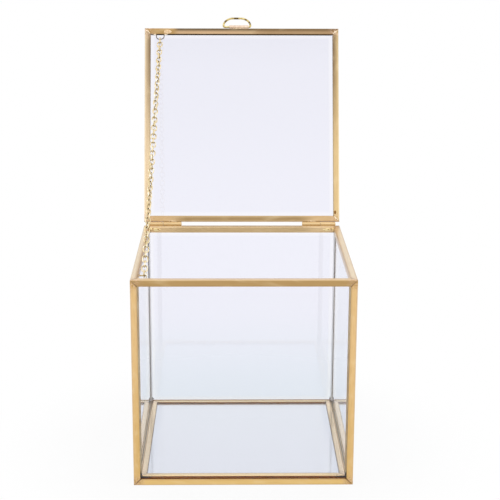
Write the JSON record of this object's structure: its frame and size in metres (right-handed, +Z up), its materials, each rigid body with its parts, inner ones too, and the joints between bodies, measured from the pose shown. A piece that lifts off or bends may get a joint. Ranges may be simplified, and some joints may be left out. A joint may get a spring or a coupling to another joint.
{
  "type": "wedding card box",
  "caption": "Clear glass card box in mitred brass strip, with a framed glass lid on barrel hinges, a chain that holds the lid open and a ring pull.",
  "frame": {"origin": "middle of the base, on the plane that the box stands on", "axes": "+Z up, +X to the right as seen from the front, +Y to the back, where the hinges are"},
  "size_m": [0.2, 0.2783, 0.3984],
  "materials": {
    "brass_strip": "polished brass strip, lightly drawn",
    "brass_chain": "bright brass wire",
    "solder": "dull solder",
    "sealant": "dull dark bead",
    "glass": "clear float glass"
  },
  "bodies": {
    "box": {"base_frame_back": "brass_strip", "base_frame_front": "brass_strip", "base_frame_left": "brass_strip", "base_frame_right": "brass_strip", "base_solder_tabs": "solder", "bottom_rail_back": "brass_strip", "bottom_rail_front": "brass_strip", "bottom_rail_left": "brass_strip", "bottom_rail_right": "brass_strip", "chain_stud": "brass_chain", "corner_bead_back_left": "sealant", "corner_bead_back_right": "sealant", "corner_bead_front_left": "sealant", "corner_bead_front_right": "sealant", "glass_back": "glass", "glass_base": "glass", "glass_front": "glass", "glass_left": "glass", "glass_right": "glass", "hinge_left_box_knuckle": "brass_strip", "hinge_left_pin": "brass_strip", "hinge_right_box_knuckle": "brass_strip", "hinge_right_pin": "brass_strip", "post_back_left": "brass_strip", "post_back_right": "brass_strip", "post_front_left": "brass_strip", "post_front_right": "brass_strip", "rim_rail_back": "brass_strip", "rim_rail_front": "brass_strip", "rim_rail_left": "brass_strip", "rim_rail_right": "brass_strip"},
    "lid": {"chain_eye": "brass_chain", "glass_lid": "glass", "hinge_left_lid_knuckle": "brass_strip", "hinge_right_lid_knuckle": "brass_strip", "lid_rail_back": "brass_strip", "lid_rail_front": "brass_strip", "lid_rail_left": "brass_strip", "lid_rail_right": "brass_strip", "pull_tube": "brass_strip"},
    "pull": {"pull_ring": "brass_strip"},
    "chain_lower": {"chain_lower": "brass_chain"},
    "chain_upper": {"chain_upper": "brass_chain"}
  },
  "joints": [
    {"name": "lid_hinge", "type": "hinge", "parent": "box", "child": "lid", "pos_m": [0, 0.10255, 0.1957], "axis": [1, 0, 0], "range_deg": [0, 108]},
    {"name": "pull_swing", "type": "hinge", "parent": "lid", "child": "pull", "pos_m": [-0.00485, 0.16842, 0.38937], "axis": [1, 0, 0], "range_deg": [-70, 120]},
    {"name": "chain_lower_swing", "type": "hinge", "parent": "box", "child": "chain_lower", "pos_m": [-0.089, -0.075, 0.192], "axis": [1, 0, 0], "range_deg": [-124, 0]},
    {"name": "chain_upper_swing", "type": "hinge", "parent": "lid", "child": "chain_upper", "pos_m": [-0.084, 0.15857, 0.37763], "axis": [1, 0, 0], "range_deg": [-52, 0]}
  ],
  "couplings": [
    {"joint": "chain_lower_swing", "follows": "lid_hinge", "ratio": -1.1433},
    {"joint": "chain_upper_swing", "follows": "lid_hinge", "ratio": -0.47662}
  ]
}
